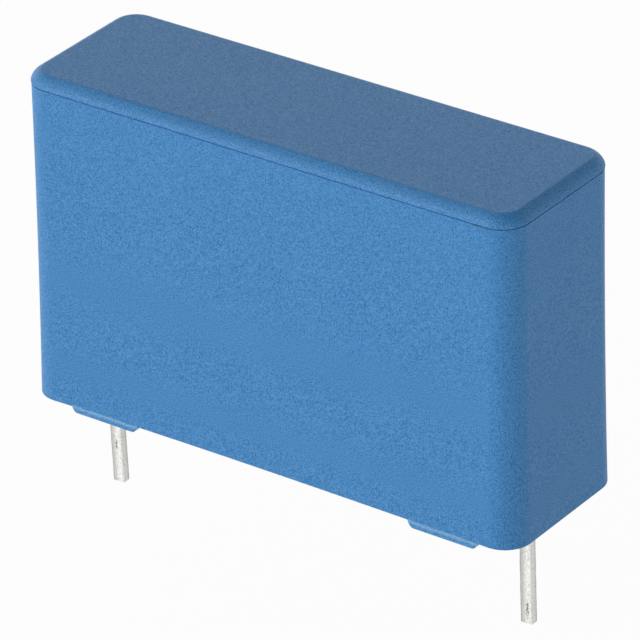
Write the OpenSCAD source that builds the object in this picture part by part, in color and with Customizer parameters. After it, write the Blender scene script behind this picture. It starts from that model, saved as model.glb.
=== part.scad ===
// Box film capacitor with a 22.5 mm lead pitch.
// A moulded plastic case, open below, stands on four standoffs. Inside it lies a flattened roll of
// metallised film. Each end of the roll is sprayed with metal, a flat lead is welded to each spray,
// and resin fills the rest of the case.
// The board's surface is z = 0, X runs along the case, Y across it, and the leads point down.

/* [Case] */
// Distance from each lead's centre to the end of the case at its open rim
lead_to_end = 1.87; // [1.6:0.01:3.5]
// Width of the case at its open rim
case_width = 8.32; // [7.4:0.02:12]
// Height of the closed top above the board
case_height = 16.3; // [14:0.05:20]
// Thickness of the side walls at the rim
wall = 0.8; // [0.6:0.05:1]
// Thickness of the closed top
top_wall = 0.9; // [0.6:0.05:1.4]
// Radius of the four upright corners
corner_radius = 1.35; // [1:0.05:1.6]
// Radius of the edge round the closed top
top_radius = 0.62; // [0.4:0.02:0.8]
// How far each wall leans in between the rim and mid height
waist_inset = 0.1; // [0:0.01:0.12]
// How far each wall leans in between the rim and the parting line
draft_inset = 0.13; // [0.05:0.01:0.2]
// How far the top stands out over the walls at the parting line
parting_lip = 0.02; // [0.01:0.005:0.05]

/* [Cavity] */
// Radius of the cavity's upright corners
cavity_radius = 0.6; // [0.4:0.05:0.9]
// Radius of the edge at the cavity's closed end
cavity_end_radius = 0.4; // [0.2:0.05:0.5]
// How far the cavity's walls lean in between the rim and the closed end
cavity_inset = 0.1; // [0:0.01:0.2]

/* [Standoffs] */
// Height of the rim above the board at mid length
standoff_height = 0.33; // [0.3:0.01:0.8]
// Length of a standoff at the rim
standoff_root = 3.77; // [3.2:0.01:4.4]
// Length of a standoff at its foot
standoff_foot = 3.27; // [2:0.01:3.3]
// Distance along the case from each lead to the centre of its standoffs
standoff_setback = 2.09; // [1.6:0.01:4]
// How far the standoffs sit off centre along the case
standoff_shift = 0.29; // [0:0.01:0.4]
// How far a standoff stands out past the wall
standoff_proud = 0.05; // [0.02:0.01:0.15]
// Height of the standoff's outer face, up to its sloping ledge
standoff_face = 0.2; // [0.1:0.01:0.24]
// Height of the sloping ledge, up to the wall
standoff_ledge = 0.14; // [0.08:0.01:0.3]
// How much higher the rim is at mid length than at the ends
rim_arch = 0.12; // [0.02:0.01:0.2]

/* [Resin] */
// Depth of the resin's surface inside the rim
resin_depth = 0.55; // [0.4:0.05:1]
// Radius of the fillet where the resin climbs the walls
resin_fillet = 0.3; // [0.15:0.05:0.35]
// Height of the resin collar round each lead
collar_height = 0.25; // [0.1:0.05:0.4]
// Radius of a resin collar at its tip
collar_tip = 0.45; // [0.4:0.05:0.6]
// Radius of a resin collar at the resin's surface
collar_root = 0.75; // [0.65:0.05:1]

/* [Winding] */
// Gap between the winding and each long wall at the closed end
winding_side_gap = 0.3; // [0.1:0.05:0.6]
// Gap between the winding and the closed top
winding_top_gap = 0.7; // [0.3:0.1:2]
// Gap between the winding and the resin's surface
winding_bottom_gap = 0.85; // [0.4:0.05:2]
// Thickness of the sprayed metal on each end of the winding
spray_thickness = 0.4; // [0.2:0.05:0.6]

/* [Leads] */
// Distance between the two leads where they leave the resin
lead_pitch = 22.5; // [10:0.5:37.5]
// Size of a lead along the case
lead_width = 0.62; // [0.4:0.01:0.8]
// Size of a lead across the case
lead_thickness = 0.44; // [0.3:0.01:0.6]
// Radius of a lead's long edges
lead_edge = 0.08; // [0.02:0.01:0.14]
// Length of a lead below the board's surface
lead_reach = 5.5; // [3:0.1:8]
// Length of the stretch where a lead lies welded on the sprayed metal
weld_length = 9.3; // [4:0.1:10]
// How far the leads sit off centre across the case
lead_offset = -0.35; // [-0.6:0.05:0.6]
// Angle in degrees at which the left lead leans below the rim
lean_angle_left = 1.9; // [0:0.1:3]
// Angle in degrees at which the right lead leans below the rim
lean_angle_right = 1; // [0:0.1:3]

/* [Hidden] */

corner_steps = 48;
edge_steps = 24;
arch_steps = 720;
// thickness of the plates that a loft runs between, and of the overlap where solids join
skin = 0.01;
through = 1;

case_length = lead_pitch + 2 * lead_to_end;
standoff_pitch = lead_pitch - 2 * standoff_setback;

// the rim at the two ends of the case
rim_z = standoff_height - rim_arch;
top_height = top_radius;
parting_z = case_height - top_height;
waist_z = (rim_z + parting_z) / 2;
top_inset = draft_inset - parting_lip;
ceiling_z = case_height - top_wall;

cavity_length = case_length - 2 * wall;
cavity_width = case_width - 2 * wall;
resin_z = standoff_height + resin_depth;

winding_width = cavity_width - 2 * cavity_inset - 2 * winding_side_gap;
winding_base_z = resin_z + winding_bottom_gap;
winding_height = ceiling_z - winding_top_gap - winding_base_z;
sprayed_length = lead_pitch - lead_width;
winding_length = sprayed_length - 2 * spray_thickness;
lead_top = winding_base_z + weld_length;

// ---- shared shapes ----

// Four thin corner discs at height z, drawn in from a plan of length by width
module corner_discs(length, width, radius, z, inset = 0) {
    for (x = [-1, 1], y = [-1, 1])
        translate([x * (length / 2 - inset - radius), y * (width / 2 - inset - radius), z])
            cylinder(r = radius, h = skin, $fn = corner_steps);
}

// Rounded block whose upper edge is rounded over, standing on z = 0
module pillow(length, width, height, radius, edge) {
    hull()
        for (x = [-1, 1], y = [-1, 1])
            translate([x * (length / 2 - radius), y * (width / 2 - radius), 0])
                rotate_extrude($fn = corner_steps) {
                    square([radius, height - edge]);
                    square([radius - edge, height]);
                    translate([radius - edge, height - edge])
                        intersection() {
                            circle(edge, $fn = corner_steps);
                            square(edge);
                        }
                }
}

// Upright wall stretch of the case between two heights, with its own inset at each
module wall_loft(low_z, low_inset, high_z, high_inset) {
    hull() {
        corner_discs(case_length, case_width, corner_radius, low_z, low_inset);
        corner_discs(case_length, case_width, corner_radius, high_z - skin, high_inset);
    }
}

// Space inside the case, from the rim to its closed end, with drafted walls
module cavity() {
    end_length = cavity_length - 2 * cavity_inset;
    end_width = cavity_width - 2 * cavity_inset;
    end_height = cavity_end_radius + skin;
    hull() {
        corner_discs(cavity_length, cavity_width, cavity_radius, rim_z - skin);
        translate([0, 0, ceiling_z - end_height])
            pillow(end_length, end_width, end_height, cavity_radius, cavity_end_radius);
    }
}

// Flattened roll section, from face x_low to face x_high
module roll(x_low, x_high) {
    straight = winding_height - winding_width;
    translate([x_low, 0, winding_base_z + winding_height / 2])
        rotate([90, 0, 90])
            linear_extrude(x_high - x_low) {
                square([winding_width, straight], center = true);
                for (end = [-1, 1])
                    translate([0, end * straight / 2])
                        circle(d = winding_width, $fn = corner_steps * 2);
            }
}

// ---- case ----

// Profile of a standoff across the wall: outer face, sloping ledge and the wall's full thickness
module standoff_section() {
    inner = cavity_width / 2;
    outer = case_width / 2;
    ledge_top = standoff_face + standoff_ledge;
    polygon([[inner, 0], [outer + standoff_proud, 0], [outer + standoff_proud, standoff_face],
        [outer - waist_inset, ledge_top], [inner, ledge_top]]);
}

// Outline of a standoff along the wall: a foot with sloping ends
module standoff_outline() {
    rise = standoff_face + standoff_ledge;
    end_slope = (standoff_root - standoff_foot) / 2 / standoff_height;
    root = standoff_foot + 2 * end_slope * rise;
    polygon([[-standoff_foot / 2, 0], [standoff_foot / 2, 0], [root / 2, rise], [-root / 2, rise]]);
}

// One standoff on the rear long wall, centred on x = 0
module standoff() {
    intersection() {
        translate([standoff_root, 0, 0])
            rotate([90, 0, -90])
                mirror([1, 0, 0])
                    linear_extrude(2 * standoff_root)
                        standoff_section();
        translate([0, case_width, 0])
            rotate([90, 0, 0])
                linear_extrude(case_width)
                    standoff_outline();
    }
}

// Wide cylinder that arches the rim of the long walls, from rim_z up to standoff_height
module rim_arch_cut() {
    half = case_length / 2;
    radius = (half * half + rim_arch * rim_arch) / (2 * rim_arch);
    translate([0, 0, standoff_height - radius])
        rotate([90, 0, 0])
            cylinder(r = radius, h = case_width + 2 * through, center = true, $fn = arch_steps);
}

module case() {
    color([0.32, 0.55, 0.74])
        difference() {
            union() {
                difference() {
                    wall_loft(rim_z, 0, waist_z, waist_inset);
                    rim_arch_cut();
                }
                wall_loft(waist_z - skin, waist_inset, parting_z + skin, draft_inset);
                translate([0, 0, parting_z])
                    pillow(case_length - 2 * top_inset, case_width - 2 * top_inset, top_height,
                        corner_radius, top_radius - skin);
                for (side = [0, 1], end = [-1, 1])
                    translate([standoff_shift + end * standoff_pitch / 2, 0, 0])
                        mirror([0, side, 0])
                            standoff();
            }
            cavity();
        }
}

// ---- filling ----

module potting_resin() {
    edge_z = resin_z - resin_fillet;
    color([0.36, 0.38, 0.4])
        difference() {
            union() {
                difference() {
                    cavity();
                    translate([0, 0, edge_z - through])
                        pillow(cavity_length - 2 * skin, cavity_width - 2 * skin,
                            resin_fillet + through, cavity_radius, resin_fillet);
                    // below the fillet the mouth of the cavity stays empty
                    translate([-case_length / 2, -case_width / 2, edge_z - through])
                        cube([case_length, case_width, through]);
                }
                for (end = [-1, 1])
                    lead_collar(end);
            }
            roll(-sprayed_length / 2, sprayed_length / 2);
            for (end = [-1, 1])
                lead_blank(end, resin_z - collar_height - through);
        }
}

// Cone of resin drawn down round a lead
module lead_collar(end) {
    translate([end * lead_pitch / 2, lead_offset, resin_z - collar_height])
        cylinder(r1 = collar_tip, r2 = collar_root, h = collar_height + skin, $fn = corner_steps);
}

// ---- winding ----

module film_winding() {
    color([0.88, 0.87, 0.82])
        roll(-winding_length / 2, winding_length / 2);
}

module left_end_spray() {
    color([0.6, 0.61, 0.62])
        roll(-sprayed_length / 2, -winding_length / 2);
}

module right_end_spray() {
    color([0.6, 0.61, 0.62])
        roll(winding_length / 2, sprayed_length / 2);
}

// ---- leads ----

// Lead section: a rectangle with rounded edges
module lead_section() {
    core_x = lead_width - 2 * lead_edge;
    core_y = lead_thickness - 2 * lead_edge;
    square([lead_width, core_y], center = true);
    square([core_x, lead_thickness], center = true);
    for (x = [-1, 1], y = [-1, 1])
        translate([x * core_x / 2, y * core_y / 2])
            circle(lead_edge, $fn = edge_steps);
}

// Straight stretch of a lead inside the resin, from height low_z to its welded end
module lead_blank(end, low_z) {
    translate([end * lead_pitch / 2, lead_offset, low_z])
        linear_extrude(lead_top - low_z)
            lead_section();
}

// Cube-shaped cutter that takes away all that lies above a plane through the origin,
// or below it with side = -1, tilted about Y
module above_plane(tilt, side = 1) {
    size = 2 * through;
    rotate([0, tilt, 0])
        translate([-size / 2, -size / 2, side > 0 ? 0 : -size])
            cube(size);
}

// Whole lead: straight in the resin, leaning towards +X below the rim, cut square at the tip.
// The two stretches meet on a mitre, so the section runs round the bend unbroken.
module lead(end, lean) {
    drop = standoff_height + lead_reach;
    translate([end * lead_pitch / 2, lead_offset, standoff_height]) {
        difference() {
            translate([0, 0, -lead_width / 2])
                linear_extrude(lead_top - standoff_height + lead_width / 2)
                    lead_section();
            above_plane(-lean / 2, -1);
        }
        rotate([0, -lean, 0])
            difference() {
                translate([0, 0, -drop])
                    linear_extrude(drop + lead_width / 2)
                        lead_section();
                above_plane(lean / 2);
            }
    }
}

module left_lead() {
    color([0.82, 0.82, 0.8])
        lead(-1, lean_angle_left);
}

module right_lead() {
    color([0.82, 0.82, 0.8])
        lead(1, lean_angle_right);
}

case();
potting_resin();
film_winding();
left_end_spray();
right_end_spray();
left_lead();
right_lead();
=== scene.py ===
# %% [markdown]
# # A box film capacitor
#
# This part is soldered into a circuit board. A moulded plastic case, open below, holds a flattened
# roll of metallised film. Both ends of the roll are sprayed with zinc, a flat lead is welded to each
# spray, and cast resin closes the open side. The lesson builds the case, the resin and the leads in
# that order, then mixes the finishes, and at the end sets up the studio.
#
# The solids come from the CAD model and are already in place. So the first step is to load them, and
# to note the box that they fill, because nothing added here may grow past it.

# %% Load the frame
import math

import bmesh
import bpy
from mathutils import Matrix, Vector


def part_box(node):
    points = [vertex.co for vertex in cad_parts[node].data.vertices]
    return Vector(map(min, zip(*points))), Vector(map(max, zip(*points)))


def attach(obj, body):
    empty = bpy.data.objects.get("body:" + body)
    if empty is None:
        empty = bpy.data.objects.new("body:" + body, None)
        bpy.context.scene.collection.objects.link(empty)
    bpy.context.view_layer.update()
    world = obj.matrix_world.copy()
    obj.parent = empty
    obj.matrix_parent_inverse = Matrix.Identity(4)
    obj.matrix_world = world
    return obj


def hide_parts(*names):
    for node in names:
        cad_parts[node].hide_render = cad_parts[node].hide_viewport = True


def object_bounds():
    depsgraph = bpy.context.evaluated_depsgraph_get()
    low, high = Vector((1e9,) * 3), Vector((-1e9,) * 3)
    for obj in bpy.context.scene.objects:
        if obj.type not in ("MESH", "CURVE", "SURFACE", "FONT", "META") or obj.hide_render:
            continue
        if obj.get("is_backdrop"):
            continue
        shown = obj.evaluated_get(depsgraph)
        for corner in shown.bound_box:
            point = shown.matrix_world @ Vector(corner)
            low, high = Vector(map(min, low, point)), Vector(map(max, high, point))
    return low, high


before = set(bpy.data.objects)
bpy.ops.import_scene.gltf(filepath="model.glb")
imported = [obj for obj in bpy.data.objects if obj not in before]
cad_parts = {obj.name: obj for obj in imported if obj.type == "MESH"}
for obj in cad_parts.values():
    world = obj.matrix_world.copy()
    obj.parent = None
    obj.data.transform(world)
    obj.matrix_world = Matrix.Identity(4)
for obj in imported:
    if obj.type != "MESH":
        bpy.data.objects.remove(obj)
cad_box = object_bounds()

MM = 0.001
print("nodes:", sorted(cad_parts))
print("size in mm:", [round(d / MM, 2) for d in cad_box[1] - cad_box[0]])

# %% [markdown]
# ## Working by hand, in code
#
# Every piece below starts from a primitive and is shaped with the edit-mode tools. Those act on
# whatever is selected, and the loaded nodes arrive selected. So each step first clears the selection,
# and then picks faces, edges or vertices by where they are and which way they point.

# %% Tools for selecting
SLACK = 0.005


def only(piece):
    """Leaves object mode tidy, with just this piece selected and active."""
    if bpy.context.mode != "OBJECT":
        bpy.ops.object.mode_set(mode="OBJECT")
    bpy.ops.object.select_all(action="DESELECT")
    piece.select_set(True)
    bpy.context.view_layer.objects.active = piece


def edit(piece):
    """Opens one piece in edit mode with nothing selected."""
    only(piece)
    bpy.ops.object.mode_set(mode="EDIT")
    bpy.ops.mesh.select_all(action="DESELECT")


def about(item):
    """The middle of a vertex, edge or face in mm, and the way that it points."""
    if isinstance(item, bmesh.types.BMVert):
        return item.co / MM, item.normal
    if isinstance(item, bmesh.types.BMEdge):
        a, b = item.verts
        return (a.co + b.co) / 2 / MM, (b.co - a.co).normalized()
    return item.calc_center_median() / MM, item.normal


def pick(kind, test):
    """Selects only the VERT, EDGE or FACE items that pass test(middle, direction)."""
    bpy.ops.mesh.select_mode(type=kind)
    bpy.ops.mesh.select_all(action="DESELECT")
    mesh = bpy.context.edit_object.data
    shape = bmesh.from_edit_mesh(mesh)
    items = {"VERT": shape.verts, "EDGE": shape.edges, "FACE": shape.faces}[kind]
    for item in [item for item in items if test(*about(item))]:
        item.select_set(True)
    shape.select_flush_mode()
    bmesh.update_edit_mesh(mesh)


def near(a, b):
    """True where two lengths in mm are the same, give or take a few microns."""
    return abs(a - b) < SLACK


def use_modifier(piece, kind, **settings):
    """Adds a modifier, gives it its settings and applies it."""
    only(piece)
    modifier = piece.modifiers.new(kind.title(), kind)
    for name, value in settings.items():
        setattr(modifier, name, value)
    bpy.ops.object.modifier_apply(modifier=modifier.name)


print("selecting tools ready")

# %% [markdown]
# ## The case: one block with drafted walls
#
# The case is injection moulded. It slides off a steel core, so its walls lean in towards the closed
# top, and because plastic shrinks as it cools they also bow in a little half way up. It could be
# lofted from curves, but a plain block with its upright edges bevelled gives the same corners with
# fewer steps, and the lean and the bow are easy to add to it afterwards.

# %% Block out the walls
CASE_WIDTH = 8.32
WALL = 0.8
CORNER_RADIUS = 1.35
CORNER_STEPS = 16
TOP_RADIUS = 0.54
GROOVE_HEIGHT = 0.065
RIM_Z = 0.16
DRAFT = 0.13

case_low, case_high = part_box("case")
CASE_LENGTH = (case_high.x - case_low.x) / MM
CASE_BOTTOM = case_low.z / MM
CASE_TOP = case_high.z / MM
PARTING_Z = CASE_TOP - TOP_RADIUS
WALL_TOP = PARTING_Z - GROOVE_HEIGHT


def block(name, length, width, low_z, high_z, x=0.0, y=0.0):
    """A cube primitive at its size and place in mm, with its place in its mesh."""
    if bpy.context.mode != "OBJECT":
        bpy.ops.object.mode_set(mode="OBJECT")
    bpy.ops.object.select_all(action="DESELECT")
    middle = Vector((x, y, (low_z + high_z) / 2)) * MM
    bpy.ops.mesh.primitive_cube_add(size=MM, location=middle)
    piece = bpy.context.object
    piece.name = piece.data.name = name
    piece.scale = (length, width, high_z - low_z)
    bpy.ops.object.transform_apply(location=True, rotation=True, scale=True)
    return piece


case = block("moulded_case", CASE_LENGTH, CASE_WIDTH, RIM_Z, WALL_TOP)
edit(case)
pick("EDGE", lambda middle, way: abs(way.z) > 0.9)
bpy.ops.mesh.bevel(offset=CORNER_RADIUS * MM, segments=CORNER_STEPS, profile=0.5, affect="EDGES")
print("case block:", round(CASE_LENGTH, 2), "x", CASE_WIDTH, "mm, walls up to z", round(WALL_TOP, 2))

# %% [markdown]
# ## Draft and sink
#
# The draft is a small scaling of the top face. The bow needs more rings round the wall: bisect cuts
# one at each height, and each new ring is scaled to the outline that the cooled wall has there. The
# wall leans in fastest just above the rim, which is why a moulded box looks flared at its foot.

# %% Lean the walls in
WALL_RINGS = 9
SINK_POWER = 2.2


def wall_inset(z):
    """How far the wall stands in from the rim's outline at height z, in mm."""
    share = (z - RIM_Z) / (WALL_TOP - RIM_Z)
    return DRAFT * (1 - (1 - share) ** SINK_POWER)


def straight_inset(z, below_z):
    """The inset at height z of a straight wall, from the ring at below_z to the wall's top."""
    share = (z - below_z) / (WALL_TOP - below_z)
    return wall_inset(below_z) + (DRAFT - wall_inset(below_z)) * share


def scale_ring(z, old_inset, new_inset):
    """Scales what is selected about the case's middle, from one outline to another."""
    along = (CASE_LENGTH - 2 * new_inset) / (CASE_LENGTH - 2 * old_inset)
    across = (CASE_WIDTH - 2 * new_inset) / (CASE_WIDTH - 2 * old_inset)
    bpy.ops.transform.resize(value=(along, across, 1), center_override=(0, 0, z * MM))


pick("FACE", lambda middle, way: way.z > 0.9)
scale_ring(WALL_TOP, 0, DRAFT)
below_z = RIM_Z
for ring in range(1, WALL_RINGS + 1):
    ring_z = RIM_Z + (WALL_TOP - RIM_Z) * ring / (WALL_RINGS + 1)
    bpy.ops.mesh.select_all(action="SELECT")
    bpy.ops.mesh.bisect(plane_co=(0, 0, ring_z * MM), plane_no=(0, 0, 1))
    pick("VERT", lambda middle, way: near(middle.z, ring_z))
    scale_ring(ring_z, straight_inset(ring_z, below_z), wall_inset(ring_z))
    below_z = ring_z
print("wall inset at mid height:", round(wall_inset((RIM_Z + WALL_TOP) / 2), 3), "mm")

# %% [markdown]
# ## The parting line and the rounded top
#
# The two halves of the mould meet just under the top. The upper half is a hair wider, so the top
# stands out over the walls by a fiftieth of a millimetre, and a fine dark line shows under it. A
# texture could fake that line, but it would not catch the light from other sides, so it is cut: the
# top face is drawn in, raised, let out again past the wall and raised to its full height. Beveling
# the upper edge in many steps gives the round, and it stops a hair short of the line, so the two
# don't meet. A bevel profile a little under one half makes the round flatter than a circle, as a
# mould edge that was ground by hand is.

# %% Raise the top
LIP = 0.018
GROOVE_DEPTH = 0.045
TOP_STEPS = 10
TOP_PROFILE = 0.43
TOP_BEVEL = 0.99 * TOP_RADIUS


def raise_face(height):
    """Extrudes the selected face straight up by a height in mm."""
    bpy.ops.mesh.extrude_region_move(TRANSFORM_OT_translate={"value": (0, 0, height * MM)})


pick("FACE", lambda middle, way: way.z > 0.9)
raise_face(0)
scale_ring(WALL_TOP, DRAFT, DRAFT + GROOVE_DEPTH)
raise_face(GROOVE_HEIGHT)
raise_face(0)
scale_ring(PARTING_Z, DRAFT + GROOVE_DEPTH, DRAFT - LIP)
raise_face(TOP_RADIUS)
pick("EDGE", lambda middle, way: near(middle.z, CASE_TOP))
bpy.ops.mesh.bevel(offset=TOP_BEVEL * MM, segments=TOP_STEPS, profile=TOP_PROFILE, affect="EDGES")
print("top raised to z", round(CASE_TOP, 2), "mm with a radius of", TOP_RADIUS)

# %% [markdown]
# ## The cavity
#
# The steel core leaves a pocket with thin walls, and it is drafted too, so that the case comes off.
# Insetting the underside gives the wall's thickness all round in one step, corners included. The
# inner face is then pushed up to the closed end and drawn in a little.

# %% Push in the cavity
CEILING = 0.9
CEILING_Z = CASE_TOP - CEILING
CAVITY_INSET = 0.1
CAVITY_END_RADIUS = 0.4

pick("FACE", lambda middle, way: near(middle.z, RIM_Z))
bpy.ops.mesh.inset(thickness=WALL * MM)
raise_face(CEILING_Z - RIM_Z)
scale_ring(CEILING_Z, WALL, WALL + CAVITY_INSET)
pick("EDGE", lambda middle, way: near(middle.z, CEILING_Z))
bpy.ops.mesh.bevel(offset=CAVITY_END_RADIUS * MM, segments=4, profile=0.5, affect="EDGES")
print("cavity:", round(CASE_LENGTH - 2 * WALL, 2), "x", round(CASE_WIDTH - 2 * WALL, 2), "mm at the rim")

# %% [markdown]
# ## The rim
#
# The rim isn't straight. It rises by an eighth of a millimetre towards mid length, and as the case
# cooled it warped, so the right end sits a tenth of a millimetre higher than the left one. Its edges
# aren't razor sharp either. All of that is small, but the eye follows the rim along the foot of the
# case. The edges get a fine bevel. Then bisect cuts columns across the case, and a displacement along
# Z, weighted by each vertex's place, bends the rim.

# %% Soften and arch the rim
RIM_ARCH = 0.12
RIM_WARP = 0.05
RIM_EDGE = 0.04
RIM_COLUMNS = 12

pick("EDGE", lambda middle, way: near(middle.z, RIM_Z) and abs(way.z) < 0.1)
bpy.ops.mesh.bevel(offset=RIM_EDGE * MM, segments=3, profile=0.5, affect="EDGES")
for column in range(1, RIM_COLUMNS):
    column_x = CASE_LENGTH * (column / RIM_COLUMNS - 0.5)
    bpy.ops.mesh.select_all(action="SELECT")
    bpy.ops.mesh.bisect(plane_co=(column_x * MM, 0, 0), plane_no=(1, 0, 0))
bpy.ops.object.mode_set(mode="OBJECT")

rim = case.vertex_groups.new(name="rim")
for vertex in case.data.vertices:
    if vertex.co.z / MM < RIM_Z + 2 * RIM_EDGE:
        off_middle = vertex.co.x / MM / (CASE_LENGTH / 2)
        rise = RIM_ARCH * (1 - off_middle ** 2) + RIM_WARP * (1 + off_middle ** 3)
        rim.add([vertex.index], rise / (RIM_ARCH + RIM_WARP), "REPLACE")
use_modifier(case, "DISPLACE", direction="Z", mid_level=0, strength=(RIM_ARCH + RIM_WARP) * MM,
    vertex_group="rim")
case.vertex_groups.clear()
RIM_MIDDLE = RIM_Z + RIM_ARCH + RIM_WARP
print("rim rises from z", RIM_Z, "to", round(RIM_MIDDLE, 2), "mm")

# %% [markdown]
# ## The standoffs
#
# Four feet keep the case clear of the board, so that solder and flux can breathe. Each is a low
# trapezoid, a hair proud of the wall, and a sloping ledge leads from the wall out to its face. One is
# modelled from a block: its lower face is shortened for the sloping ends, and bisect gives the ring
# where the ledge starts. The ledge ends a hair inside the wall, so that no sliver of a gap is left.
# The others are turned or moved copies, and all of them are united with the case, because it is one
# moulding.

# %% Model one standoff
STANDOFF_ROOT = 3.77
STANDOFF_FOOT = 3.27
STANDOFF_X = (-8.87, 9.45)
STANDOFF_PROUD = 0.05
STANDOFF_FACE = 0.19
LEDGE_TOP = 0.33
STANDOFF_EDGE = 0.01
STANDOFF_END = 0.1
LEDGE_SUNK = 0.002


def make_standoff(name):
    """The front foot, modelled about x = 0."""
    outer_y = -CASE_WIDTH / 2 - STANDOFF_PROUD
    inner_y = -CASE_WIDTH / 2 + WALL
    run = (STANDOFF_ROOT - STANDOFF_FOOT) / RIM_MIDDLE
    top_length = STANDOFF_FOOT + run * LEDGE_TOP
    foot = block(name, top_length, inner_y - outer_y, CASE_BOTTOM, LEDGE_TOP,
        y=(inner_y + outer_y) / 2)
    edit(foot)
    pick("FACE", lambda middle, way: way.z < -0.9)
    bpy.ops.transform.resize(value=(STANDOFF_FOOT / top_length, 1, 1), center_override=(0, 0, 0))
    bpy.ops.mesh.select_all(action="SELECT")
    bpy.ops.mesh.bisect(plane_co=(0, 0, STANDOFF_FACE * MM), plane_no=(0, 0, 1))
    pick("EDGE", lambda middle, way: near(middle.z, LEDGE_TOP) and near(middle.y, outer_y))
    drawn_in = STANDOFF_PROUD + wall_inset(LEDGE_TOP) + LEDGE_SUNK
    bpy.ops.transform.translate(value=(0, drawn_in * MM, 0))
    pick("EDGE", lambda middle, way: near(middle.z, CASE_BOTTOM) and abs(way.y) > 0.9)
    bpy.ops.mesh.bevel(offset=STANDOFF_END * MM, segments=4, profile=0.5, affect="EDGES")
    pick("EDGE", lambda middle, way: middle.z < LEDGE_TOP - 0.01 and middle.y < inner_y - 0.1)
    bpy.ops.mesh.bevel(offset=STANDOFF_EDGE * MM, segments=2, profile=0.5, affect="EDGES")
    bpy.ops.object.mode_set(mode="OBJECT")
    return foot


standoff = make_standoff("standoff")
print("standoff faces:", len(standoff.data.polygons))

# %% Copy it to its four places and unite them with the case
def put_copy(piece, turn, x):
    """A copy with its own mesh, turned about Z through the origin and moved along X."""
    copy = piece.copy()
    copy.data = piece.data.copy()
    bpy.context.scene.collection.objects.link(copy)
    copy.data.transform(Matrix.Translation((x * MM, 0, 0)) @ Matrix.Rotation(turn, 4, "Z"))
    return copy


for standoff_x in STANDOFF_X:
    for turn in (0, math.pi):
        copy = put_copy(standoff, turn, standoff_x)
        use_modifier(case, "BOOLEAN", object=copy, operation="UNION", solver="EXACT")
        bpy.data.objects.remove(copy)
bpy.data.objects.remove(standoff)
print("case faces:", len(case.data.polygons))

# %% [markdown]
# ## Shading the case
#
# The walls are large flat faces next to narrow bevel strips. Plain smooth shading would bend the
# light on the flats towards the strips, so edges past a limit stay sharp, and the rest is weighted
# by face area, which keeps each flat truly flat. The case takes a low limit of fifteen degrees,
# because the ledges over its feet turn by only thirty and must stay crisp.

# %% Smooth the case
def smooth(piece, degrees=30):
    """Smooth shading that keeps sharp edges and flat faces."""
    only(piece)
    bpy.ops.object.shade_smooth_by_angle(angle=math.radians(degrees))
    use_modifier(piece, "WEIGHTED_NORMAL", keep_sharp=True, weight=100)


smooth(case, degrees=15)
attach(case, "root")
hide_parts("case")
print("case triangles:", sum(len(face.vertices) - 2 for face in case.data.polygons))

# %% [markdown]
# ## Resin, roll and end sprays
#
# These pieces come from the CAD model in their true form: the resin with its fillet along the walls
# and its collars round the leads, the flattened roll, and the zinc on its ends. Their meshes are loose
# triangles, which shade as facets. A merged copy of each can be smoothed and stands in for the solid,
# so nothing needs to be modelled twice.

# %% Smooth copies of the inner solids
def smooth_copy(node, name):
    """A merged, smooth copy of a CAD solid, which it then stands for."""
    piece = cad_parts[node].copy()
    piece.data = piece.data.copy()
    piece.parent = None
    for key in list(piece.keys()):
        del piece[key]
    piece.name = piece.data.name = name
    bpy.context.scene.collection.objects.link(piece)
    edit(piece)
    bpy.ops.mesh.select_all(action="SELECT")
    bpy.ops.mesh.remove_doubles(threshold=0.0005 * MM)
    smooth(piece)
    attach(piece, "root")
    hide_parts(node)
    return piece


resin = smooth_copy("potting_resin", "cast_resin")
roll = smooth_copy("film_winding", "film_roll")
left_spray = smooth_copy("left_end_spray", "left_zinc_spray")
right_spray = smooth_copy("right_end_spray", "right_zinc_spray")
for piece in (resin, roll, left_spray, right_spray):
    print(piece.name, len(piece.data.polygons), "faces")

# %% [markdown]
# ## The leads
#
# The leads are flat tinned strip, about 0.6 by 0.4 mm. They run straight through the resin and lean a
# little below it, because handling bent them. Each starts as a block the length of the lead, its long
# edges are rounded, and bisect cuts rings along the stretch that shows. The lean is one rotation about
# the point where the lead leaves the rim.

# %% Model a lead
LEAD_PITCH = 22.5
LEAD_WIDTH = 0.62
LEAD_THICKNESS = 0.44
LEAD_EDGE = 0.08
LEAD_Y = -0.35
LEAD_REACH = 5.5
LEFT_LEAN = 1.9
RIGHT_LEAN = 1.0
BEND_Z = RIM_MIDDLE
RING_STEP = 0.15
TIP_EDGE = 0.035


def make_lead(name, node, x, lean):
    """A flat lead with rounded edges, leaning towards +X by so many degrees below the rim."""
    top_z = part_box(node)[1].z / MM
    lead = block(name, LEAD_WIDTH, LEAD_THICKNESS, -LEAD_REACH, top_z, x=x, y=LEAD_Y)
    edit(lead)
    pick("EDGE", lambda middle, way: abs(way.z) > 0.9)
    bpy.ops.mesh.bevel(offset=LEAD_EDGE * MM, segments=4, profile=0.5, affect="EDGES")
    pick("EDGE", lambda middle, way: near(middle.z, -LEAD_REACH))
    bpy.ops.mesh.bevel(offset=TIP_EDGE * MM, segments=2, profile=0.5, affect="EDGES")
    rings = int((BEND_Z + LEAD_REACH) / RING_STEP)
    for ring in range(rings):
        bpy.ops.mesh.select_all(action="SELECT")
        bpy.ops.mesh.bisect(plane_co=(0, 0, (BEND_Z - ring * RING_STEP) * MM), plane_no=(0, 0, 1))
    pick("VERT", lambda middle, way: middle.z < BEND_Z - 0.01)
    bpy.ops.transform.rotate(value=math.radians(lean), orient_axis="Y",
        center_override=(x * MM, LEAD_Y * MM, BEND_Z * MM))
    bpy.ops.object.mode_set(mode="OBJECT")
    return lead


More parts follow.
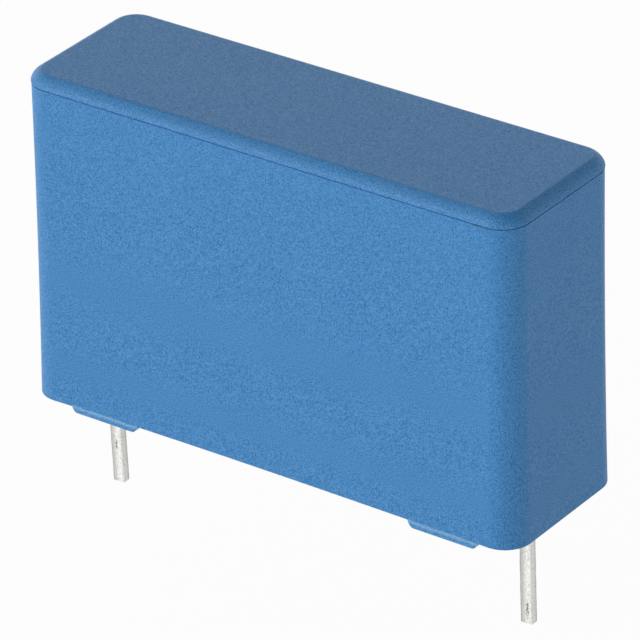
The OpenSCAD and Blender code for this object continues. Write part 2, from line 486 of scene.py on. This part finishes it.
left_lead = make_lead("left_flat_lead", "left_lead", -LEAD_PITCH / 2, LEFT_LEAN)
right_lead = make_lead("right_flat_lead", "right_lead", LEAD_PITCH / 2, RIGHT_LEAN)
for lead in (left_lead, right_lead):
    tip = min((vertex.co for vertex in lead.data.vertices), key=lambda co: co.z)
    print(lead.name, "tip at", [round(c / MM, 3) for c in tip])

# %% [markdown]
# ## Handled metal
#
# Soft copper strip never stays perfectly true: rollers, tape and fingers leave its faces slightly
# wavy. A displacement of about a hundredth of a millimetre, from a cloud pattern, is enough for the
# highlights to waver. It is limited to the stretch that shows, so the weld stays flat.

# %% Roughen the leads
WAVE_SIZE = 0.45
WAVE_DEPTH = 0.026


def roughen(lead):
    """Waves the stretch of the lead that shows, apart from the tip."""
    shown = lead.vertex_groups.new(name="shown")
    visible = [v.index for v in lead.data.vertices if -LEAD_REACH + 0.1 < v.co.z / MM < BEND_Z]
    shown.add(visible, 1.0, "REPLACE")
    waves = bpy.data.textures.new(lead.name + "_waves", "CLOUDS")
    waves.noise_scale = WAVE_SIZE * MM
    waves.noise_depth = 2
    use_modifier(lead, "DISPLACE", texture=waves, texture_coords="LOCAL", mid_level=0.5,
        strength=WAVE_DEPTH * MM, vertex_group="shown")
    bpy.data.textures.remove(waves)
    lead.vertex_groups.clear()


for lead, node in ((left_lead, "left_lead"), (right_lead, "right_lead")):
    roughen(lead)
    smooth(lead, degrees=40)
    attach(lead, "root")
    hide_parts(node)
    print(lead.name, len(lead.data.polygons), "faces")

# %% [markdown]
# ## Finishes
#
# All finishes are procedural and read Object coordinates, scaled so that one unit is a millimetre.
# Then the size of a grain or a stain can be written as it would be measured. These two cells hold the
# steps that each finish repeats: first patterns and sums, then colour and relief.

# %% Tools for patterns
def new_finish(name):
    """A fresh material. Returns it with its node tree, shader and coordinates in mm."""
    finish = bpy.data.materials.new(name)
    finish.use_nodes = True
    tree = finish.node_tree
    shader = tree.nodes["Principled BSDF"]
    place = tree.nodes.new("ShaderNodeTexCoord")
    in_mm = tree.nodes.new("ShaderNodeMapping")
    in_mm.inputs["Scale"].default_value = (1 / MM, 1 / MM, 1 / MM)
    tree.links.new(place.outputs["Object"], in_mm.inputs["Vector"])
    return finish, tree, shader, in_mm.outputs["Vector"]


def noise(tree, where, size, detail=2.0, roughness=0.5):
    """Noise whose blobs are about so many mm across."""
    node = tree.nodes.new("ShaderNodeTexNoise")
    node.inputs["Scale"].default_value = 1 / size
    node.inputs["Detail"].default_value = detail
    node.inputs["Roughness"].default_value = roughness
    tree.links.new(where, node.inputs["Vector"])
    return node.outputs["Fac"]


def spread(tree, value, low, high, to_low=0.0, to_high=1.0):
    """Stretches a value from one range to another and clamps it."""
    node = tree.nodes.new("ShaderNodeMapRange")
    for key, number in zip(("From Min", "From Max", "To Min", "To Max"), (low, high, to_low, to_high)):
        node.inputs[key].default_value = number
    tree.links.new(value, node.inputs["Value"])
    return node.outputs["Result"]


def vector_step(tree, operation, first, second=None):
    """One step of vector arithmetic, with a fixed second vector if there is one."""
    node = tree.nodes.new("ShaderNodeVectorMath")
    node.operation = operation
    tree.links.new(first, node.inputs[0])
    if second is not None:
        node.inputs[1].default_value = second
    return node.outputs["Value" if operation in ("DOT_PRODUCT", "LENGTH") else "Vector"]


def combine(tree, operation, first, second):
    """One step of arithmetic on two values, each a number or a socket."""
    node = tree.nodes.new("ShaderNodeMath")
    node.operation = operation
    for socket, value in zip(node.inputs, (first, second)):
        if isinstance(value, float):
            socket.default_value = value
        else:
            tree.links.new(value, socket)
    return node.outputs[0]


print("pattern tools ready")

# %% Tools for colour and relief
def blend(tree, share, first, second):
    """Mixes two colours, each a tuple or a socket, by a share from 0 to 1."""
    node = tree.nodes.new("ShaderNodeMix")
    node.data_type = "RGBA"
    tree.links.new(share, node.inputs["Factor"])
    for socket, colour in ((node.inputs[6], first), (node.inputs[7], second)):
        if isinstance(colour, tuple):
            socket.default_value = (*colour, 1.0)
        else:
            tree.links.new(colour, socket)
    return node.outputs[2]


def bump(tree, shader, height, depth, under=None):
    """Relief of so many mm from a height pattern, laid over another relief if there is one."""
    node = tree.nodes.new("ShaderNodeBump")
    node.inputs["Strength"].default_value = 1.0
    node.inputs["Distance"].default_value = depth * MM
    tree.links.new(height, node.inputs["Height"])
    if under is not None:
        tree.links.new(under, node.inputs["Normal"])
    tree.links.new(node.outputs["Normal"], shader.inputs["Normal"])
    return node.outputs["Normal"]


print("colour and relief tools ready")

# %% [markdown]
# ## Blue moulded plastic
#
# The mould is spark eroded, which gives the case a fine matt grain of less than a tenth of a
# millimetre. The colour is mixed into the plastic before moulding, so it goes all through and varies
# only softly where the melt flowed. The grain goes into the relief, the colour and the gloss, because
# its pits hold a little shade. The feet are formed by a polished insert, so they and their ledges
# take glossier versions of the same finish, given to just those faces. The feet are also a shade
# paler, and the ledges, which face up towards the light, paler still: that is a painted highlight.
# Where the mould halves met, a trace of flash was trimmed off near one corner. It could be painted
# on an image, but a mark that is worked out from its place in millimetres needs none and stays sharp
# from close by.

# %% Make a small mark
def mark(tree, where, spot, size, speck):
    """Scattered specks around one spot: 1 where one shows and 0 elsewhere."""
    off = vector_step(tree, "DIVIDE", vector_step(tree, "SUBTRACT", where, spot), size)
    inside = spread(tree, vector_step(tree, "LENGTH", off), 0.6, 1.0, 1.0, 0.0)
    specks = spread(tree, noise(tree, where, speck), 0.43, 0.52)
    return combine(tree, "MULTIPLY", inside, specks)


print("marks ready")

# %% Mix the case's plastic
PLASTIC_LIGHT = (0.089, 0.303, 0.645)
PLASTIC_DARK = (0.005, 0.146, 0.366)
PLASTIC_PALE = (0.35, 0.75, 1.0)
PLASTIC_SCAR = (0.04, 0.1, 0.18)
FOOT_TINT = 0.05
# The ledges' paler tint is a painted highlight.
LEDGE_PAINTED_HIGHLIGHT = 0.12
ERODED_GLOSS = 0.5
POLISHED_GLOSS = 0.3
GRAIN_SIZE = 0.055
GRAIN_DEPTH = 0.0012
FLOW_SIZE = 3.5
FLOW_DEPTH = 0.006
FLOW_TINT = 0.012
FLASH_AT = (11.25, -4.05, WALL_TOP)
FLASH_SIZE = (0.3, 0.3, 0.08)
FLASH_SPECK = 0.08


def case_plastic(name, roughness, tint=0.0):
    """The blue plastic, as pale as the tint that is mixed in; on the ledges that tint is a painted
    highlight.
    """
    finish, tree, shader, where = new_finish(name)
    grain = noise(tree, where, GRAIN_SIZE, detail=3.0, roughness=0.6)
    flow = noise(tree, where, FLOW_SIZE, detail=2.0)
    speckled = blend(tree, spread(tree, grain, 0.3, 0.7), PLASTIC_DARK, PLASTIC_LIGHT)
    paler = spread(tree, flow, 0.35, 0.65, tint, tint + FLOW_TINT)
    # On the ledges, the tint mixed in here is a painted highlight.
    flow_and_highlight = blend(tree, paler, speckled, PLASTIC_PALE)
    scar = mark(tree, where, FLASH_AT, FLASH_SIZE, FLASH_SPECK)
    trimmed = blend(tree, scar, flow_and_highlight, PLASTIC_SCAR)
    tree.links.new(trimmed, shader.inputs["Base Color"])
    shader.inputs["Roughness"].default_value = roughness
    tree.links.new(spread(tree, grain, 0.3, 0.7, 0.0, 0.8), shader.inputs["Specular IOR Level"])
    soft = bump(tree, shader, flow, FLOW_DEPTH)
    bump(tree, shader, grain, GRAIN_DEPTH, under=soft)
    return finish


def dress(piece, finish):
    """Gives the whole piece one finish."""
    piece.data.materials.clear()
    piece.data.materials.append(finish)


def is_foot(face):
    """Whether a face of the case stands proud of its long walls, low down."""
    z = face.center.z / MM
    wall_y = CASE_WIDTH / 2 - wall_inset(max(z, RIM_Z))
    return z < LEDGE_TOP and abs(face.center.y) / MM > wall_y + 0.003


dress(case, case_plastic("blue_moulded_plastic", ERODED_GLOSS))
case.data.materials.append(case_plastic("blue_polished_foot", POLISHED_GLOSS, FOOT_TINT))
case.data.materials.append(case_plastic("blue_polished_ledge_painted_highlight", POLISHED_GLOSS, LEDGE_PAINTED_HIGHLIGHT))
# The upward-facing faces of the feet, the ledges, take the paler copy: a painted highlight.
for face in case.data.polygons:
    if is_foot(face):
        face.material_index = 2 if face.normal.z > 0.2 else 1
print("case dressed")

# %% [markdown]
# ## Cast resin
#
# The resin is poured in, levels itself and cures with a smooth, slightly wavy surface. A low
# roughness with a wide, shallow relief gives that look without any modelling.

# %% Mix the resin
RESIN_COLOUR = (0.075, 0.085, 0.095)
RESIN_CLOUD = (0.1, 0.112, 0.125)
RESIN_CLOUD_SIZE = 1.6
RESIN_RIPPLE_SIZE = 0.9
RESIN_RIPPLE_DEPTH = 0.02


def cast_resin():
    """Dark resin with faint clouds and a rippled surface."""
    finish, tree, shader, where = new_finish("cast_resin")
    cloud = noise(tree, where, RESIN_CLOUD_SIZE, detail=3.0)
    tree.links.new(blend(tree, cloud, RESIN_COLOUR, RESIN_CLOUD), shader.inputs["Base Color"])
    tree.links.new(spread(tree, cloud, 0.3, 0.7, 0.22, 0.34), shader.inputs["Roughness"])
    bump(tree, shader, noise(tree, where, RESIN_RIPPLE_SIZE, detail=1.0), RESIN_RIPPLE_DEPTH)
    return finish


dress(resin, cast_resin())
print("resin dressed")

# %% [markdown]
# ## Film and zinc
#
# The roll is clear film with a coat of aluminium thinner than a hair, so it looks silvery with a warm
# tint. Its turns show as fine lines along the roll. The zinc is sprayed on as droplets and stays
# rough, so it gets a strong grain and a dull metal.

# %% Mix the film and the zinc
FILM_COLOUR = (0.62, 0.6, 0.55)
FILM_SHADE = (0.5, 0.49, 0.46)
ZINC_COLOUR = (0.34, 0.345, 0.355)
ZINC_SHADE = (0.22, 0.225, 0.235)
TURN_SIZE = 0.12
TURN_STRETCH = 50
TURN_DEPTH = 0.006
DROPLET_SIZE = 0.14
DROPLET_DEPTH = 0.04


def wound_film():
    """Silvery film, whose turns show as lines along the roll."""
    finish, tree, shader, where = new_finish("wound_film")
    stretch = tree.nodes.new("ShaderNodeMapping")
    stretch.inputs["Scale"].default_value = (1 / TURN_STRETCH, 1.0, 1.0)
    tree.links.new(where, stretch.inputs["Vector"])
    lines = noise(tree, stretch.outputs["Vector"], TURN_SIZE, detail=3.0)
    tree.links.new(blend(tree, lines, FILM_SHADE, FILM_COLOUR), shader.inputs["Base Color"])
    shader.inputs["Metallic"].default_value = 0.6
    shader.inputs["Roughness"].default_value = 0.28
    bump(tree, shader, lines, TURN_DEPTH)
    return finish


def sprayed_zinc():
    """Dull grey metal, rough with droplets."""
    finish, tree, shader, where = new_finish("sprayed_zinc")
    droplets = noise(tree, where, DROPLET_SIZE, detail=4.0, roughness=0.7)
    tree.links.new(blend(tree, droplets, ZINC_SHADE, ZINC_COLOUR), shader.inputs["Base Color"])
    shader.inputs["Metallic"].default_value = 0.9
    tree.links.new(spread(tree, droplets, 0.3, 0.7, 0.8, 0.6), shader.inputs["Roughness"])
    bump(tree, shader, droplets, DROPLET_DEPTH)
    return finish


dress(roll, wound_film())
zinc = sprayed_zinc()
for spray in (left_spray, right_spray):
    dress(spray, zinc)
print("roll and sprays dressed")

# %% [markdown]
# ## Tinned leads
#
# Tin is bright but not mirror-like: the dip leaves a satin skin with fine dull pits. Light and shade
# are painted across each lead: its front is brightest along the right and duller towards the left,
# so the tone follows the place across the lead, and dims again towards the back of its side. Two
# opposite edges are painted darker and grey, as shade, in a second finish on just those faces. Each
# lead has its own small dark mark too, where a tool nicked it.

# %% Spread painted light and shade across a lead
TIN_HIGHLIGHT = (1.0, 0.995, 0.98)
TIN_HALF_LIGHT = (0.92, 0.91, 0.89)
TIN_LEFT_SHADE = (0.6, 0.6, 0.57)
TIN_SIDE_SHADE = (0.84, 0.84, 0.79)
TIN_PIT_AND_SHADE = (0.42, 0.42, 0.38)
# Painted light and shade across the lead: shade at its left edge, a highlight across the front, shade on
# the side and at the back.
TIN_LIGHT_AND_SHADE = [(0.0, TIN_LEFT_SHADE), (0.18, TIN_LEFT_SHADE), (0.4, TIN_HALF_LIGHT), (0.48, TIN_HIGHLIGHT),
    (0.68, TIN_HIGHLIGHT), (0.74, TIN_SIDE_SHADE), (0.88, TIN_SIDE_SHADE), (1.0, TIN_PIT_AND_SHADE)]
SIDE_SHARE = 0.5


def ramp(tree, value, stops):
    """Colours along a value from 0 to 1, from a list of places and colours."""
    node = tree.nodes.new("ShaderNodeValToRGB")
    while len(node.color_ramp.elements) < len(stops):
        node.color_ramp.elements.new(0.5)
    for element, (place, colour) in zip(node.color_ramp.elements, stops):
        element.position = place
        element.color = (*colour, 1.0)
    tree.links.new(value, node.inputs["Fac"])
    return node.outputs["Color"]


def round_lead(tree, where, x, lean):
    """0 at the lead's left edge, then across its front and back along its right side to 1."""
    slope = math.tan(math.radians(lean))
    place = vector_step(tree, "DOT_PRODUCT", where, (1, SIDE_SHARE, slope))
    start = x - LEAD_WIDTH / 2 + SIDE_SHARE * (LEAD_Y - LEAD_THICKNESS / 2) + BEND_Z * slope
    return spread(tree, place, start, start + LEAD_WIDTH + SIDE_SHARE * LEAD_THICKNESS)


print("tones across a lead:", len(TIN_LIGHT_AND_SHADE))

# %% Mix the tin
# The grey of the two lead edges is painted shade.
TIN_EDGE_SHADE = (0.34, 0.34, 0.3)
TIN_GRAIN_SIZE = 0.05
TIN_GRAIN_DEPTH = 0.006
TIN_GLOSS = 0.36
EDGE_GLOSS = 0.5
STREAK_SHARE = 0.55
NICK = (0.2, 0.13, 0.1)
NICK_SPECK = 0.07
LEFT_NICK_AT = (-11.1, -0.57, -3.6)
LEFT_NICK_SIZE = (0.08, 0.1, 0.36)
RIGHT_NICK_AT = (11.43, -0.57, -4.8)
RIGHT_NICK_SIZE = (0.1, 0.1, 0.5)


def tin_skin(tree, shader, where, tone, roughness):
    """Grain and gloss that all the tin shares, over a tone. The grain is drawn out lengthways."""
    along = vector_step(tree, "MULTIPLY", where, (1, 1, STREAK_SHARE))
    grain = noise(tree, along, TIN_GRAIN_SIZE, detail=3.0, roughness=0.65)
    grained = blend(tree, spread(tree, grain, 0.48, 0.66, 0.0, 0.7), tone, TIN_PIT_AND_SHADE)
    tree.links.new(grained, shader.inputs["Base Color"])
    shader.inputs["Metallic"].default_value = 0.5
    shader.inputs["Roughness"].default_value = roughness
    bump(tree, shader, grain, TIN_GRAIN_DEPTH)


def tinned_metal(name, x, lean, nick_at, nick_size):
    """The tin of one lead, with its painted light and shade in place and its own nick."""
    finish, tree, shader, where = new_finish(name)
    tone = ramp(tree, round_lead(tree, where, x, lean), TIN_LIGHT_AND_SHADE)
    nick = mark(tree, where, nick_at, nick_size, NICK_SPECK)
    tin_skin(tree, shader, where, blend(tree, nick, tone, NICK), TIN_GLOSS)
    return finish


def edge_shade_tin_finish():
    """Grey tin on two opposite edges: painted shade."""
    finish, tree, shader, where = new_finish("painted_shade_tin_edge")
    tin_skin(tree, shader, where, TIN_EDGE_SHADE, EDGE_GLOSS)
    return finish


left_tin = tinned_metal("left_tin", -LEAD_PITCH / 2, LEFT_LEAN, LEFT_NICK_AT, LEFT_NICK_SIZE)
right_tin = tinned_metal("right_tin", LEAD_PITCH / 2, RIGHT_LEAN, RIGHT_NICK_AT, RIGHT_NICK_SIZE)
edge_shade_tin = edge_shade_tin_finish()
print("mixed:", left_tin.name, right_tin.name, edge_shade_tin.name)

# %% Dress the leads
EDGE_TILT = 0.1


def dress_lead(lead, skin, edge):
    """One finish all over and another on two opposite edges, painted darker as shade."""
    dress(lead, skin)
    lead.data.materials.append(edge)
    for face in lead.data.polygons:
        # Faces whose normals lean the same way along X and Y get the painted shade.
        if face.normal.x * face.normal.y > EDGE_TILT:
            face.material_index = 1


dress_lead(left_lead, left_tin, edge_shade_tin)
dress_lead(right_lead, right_tin, edge_shade_tin)
print("leads dressed")

# %% [markdown]
# ## The camera
#
# The part is seen from in front, from its right and from above, through a long lens a quarter of a
# metre away. A long lens keeps the upright edges nearly parallel. The camera is turned about its own
# axis by a degree, as a hand-set camera is.

# %% Place the camera
CAMERA_AZIMUTH = 36.08
CAMERA_ELEVATION = 28.63
CAMERA_ROLL = -1.25
CAMERA_DISTANCE = 265.2
CAMERA_AIM = (1.151, -1.425, 6.978)
LENS = 341.9
SENSOR_WIDTH = 36


def from_round(azimuth, elevation):
    """The direction from the part towards a viewer, as azimuth from the front and elevation."""
    turn = math.radians(azimuth)
    lift = math.radians(elevation)
    return Vector((math.sin(turn) * math.cos(lift), -math.cos(turn) * math.cos(lift), math.sin(lift)))


camera_data = bpy.data.cameras.new("camera")
camera = bpy.data.objects.new("camera", camera_data)
bpy.context.scene.collection.objects.link(camera)
bpy.context.scene.camera = camera
camera_data.lens = LENS
camera_data.sensor_width = SENSOR_WIDTH
camera_data.clip_start = 0.01
camera_data.clip_end = 10

back = from_round(CAMERA_AZIMUTH, CAMERA_ELEVATION)
level = back.to_track_quat("Z", "Y")
roll_turn = Matrix.Rotation(math.radians(CAMERA_ROLL), 4, "Z")
spot = Vector(CAMERA_AIM) * MM + back * CAMERA_DISTANCE * MM
camera.matrix_world = Matrix.Translation(spot) @ level.to_matrix().to_4x4() @ roll_turn
print("camera at", [round(c / MM, 1) for c in spot], "mm")

# %% [markdown]
# ## The studio
#
# The room is a white world that isn't even: it is bright round the horizon and dims overhead and to
# the right, as a white table in a darker room would have it. That keeps the top and its rounds darker
# than the long wall. One long, low soft box at the front left, level with the part, lifts the long
# wall further. The floor is pale and lies where the leads end. The camera, and anything that mirrors
# the floor, sees it as nearly plain white, and the little that is left over keeps the part's shadow.

# %% Light the room
ROOM_LEVEL = 1.67
ROOM_SLOPE = (-0.28, -0.05, -1.05)


def graded(tree, level, slope):
    """A brightness that rises or falls with the direction looked in."""
    looking = tree.nodes.new("ShaderNodeTexCoord").outputs["Generated"]
    along = vector_step(tree, "DOT_PRODUCT", looking, slope)
    return combine(tree, "MULTIPLY", combine(tree, "ADD", along, 1.0), level)


world = bpy.data.worlds.new("soft_white_room")
bpy.context.scene.world = world
world.use_nodes = True
sky = world.node_tree.nodes["Background"]
sky.inputs["Color"].default_value = (1, 1, 1, 1)
world.node_tree.links.new(graded(world.node_tree, ROOM_LEVEL, ROOM_SLOPE), sky.inputs["Strength"])
print("room level", ROOM_LEVEL)

# %% Hang the soft box
SOFTBOX_AZIMUTH = -29
SOFTBOX_ELEVATION = 4
SOFTBOX_DISTANCE = 600
SOFTBOX_LENGTH = 700
SOFTBOX_HEIGHT = 220
SOFTBOX_POWER = 1.3

softbox_data = bpy.data.lights.new("softbox", "AREA")
softbox_data.shape = "RECTANGLE"
softbox_data.size = SOFTBOX_LENGTH * MM
softbox_data.size_y = SOFTBOX_HEIGHT * MM
softbox_data.energy = SOFTBOX_POWER
softbox = bpy.data.objects.new("softbox", softbox_data)
bpy.context.scene.collection.objects.link(softbox)
toward = from_round(SOFTBOX_AZIMUTH, SOFTBOX_ELEVATION)
middle = (cad_box[0] + cad_box[1]) / 2
softbox.matrix_world = (Matrix.Translation(middle + toward * SOFTBOX_DISTANCE * MM)
    @ toward.to_track_quat("Z", "Y").to_matrix().to_4x4())
print("soft box", SOFTBOX_LENGTH, "x", SOFTBOX_HEIGHT, "mm,", SOFTBOX_POWER, "W")

# %% Lay the floor
FLOOR_SIZE = 4000
FLOOR_WHITENESS = 0.96


def seen_as_white(tree, plain, whiteness):
    """Mixes so much white into a plain shader for the camera and for reflections, and none else."""
    rays = tree.nodes.new("ShaderNodeLightPath").outputs
    views = combine(tree, "MAXIMUM", rays["Is Camera Ray"], rays["Is Glossy Ray"])
    views = combine(tree, "MAXIMUM", views, rays["Is Transmission Ray"])
    mix = tree.nodes.new("ShaderNodeMixShader")
    white = tree.nodes.new("ShaderNodeEmission")
    white.inputs["Strength"].default_value = 1.0
    tree.links.new(combine(tree, "MULTIPLY", views, whiteness), mix.inputs[0])
    tree.links.new(plain, mix.inputs[1])
    tree.links.new(white.outputs[0], mix.inputs[2])
    return mix.outputs[0]


only(case)
bpy.ops.mesh.primitive_plane_add(size=FLOOR_SIZE * MM, location=(0, 0, cad_box[0].z))
floor = bpy.context.object
floor.name = "floor"
pale = bpy.data.materials.new("pale_floor")
pale.use_nodes = True
paint = pale.node_tree.nodes["Principled BSDF"]
paint.inputs["Base Color"].default_value = (0.9, 0.9, 0.9, 1)
paint.inputs["Roughness"].default_value = 0.8
surface = seen_as_white(pale.node_tree, paint.outputs[0], FLOOR_WHITENESS)
pale.node_tree.links.new(surface, pale.node_tree.nodes["Material Output"].inputs["Surface"])
dress(floor, pale)
floor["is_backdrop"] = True
bpy.context.scene.view_settings.view_transform = "Standard"
print("floor at z", round(cad_box[0].z / MM, 2), "mm")

# %% [markdown]
# ## Measure and finish
#
# The dressed part has to stay inside the box of the solids, so both boxes are printed side by side.

# %% Print the boxes
dressed_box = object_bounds()
for corner in (cad_box, dressed_box):
    print([[round(c / MM, 3) for c in point] for point in corner])
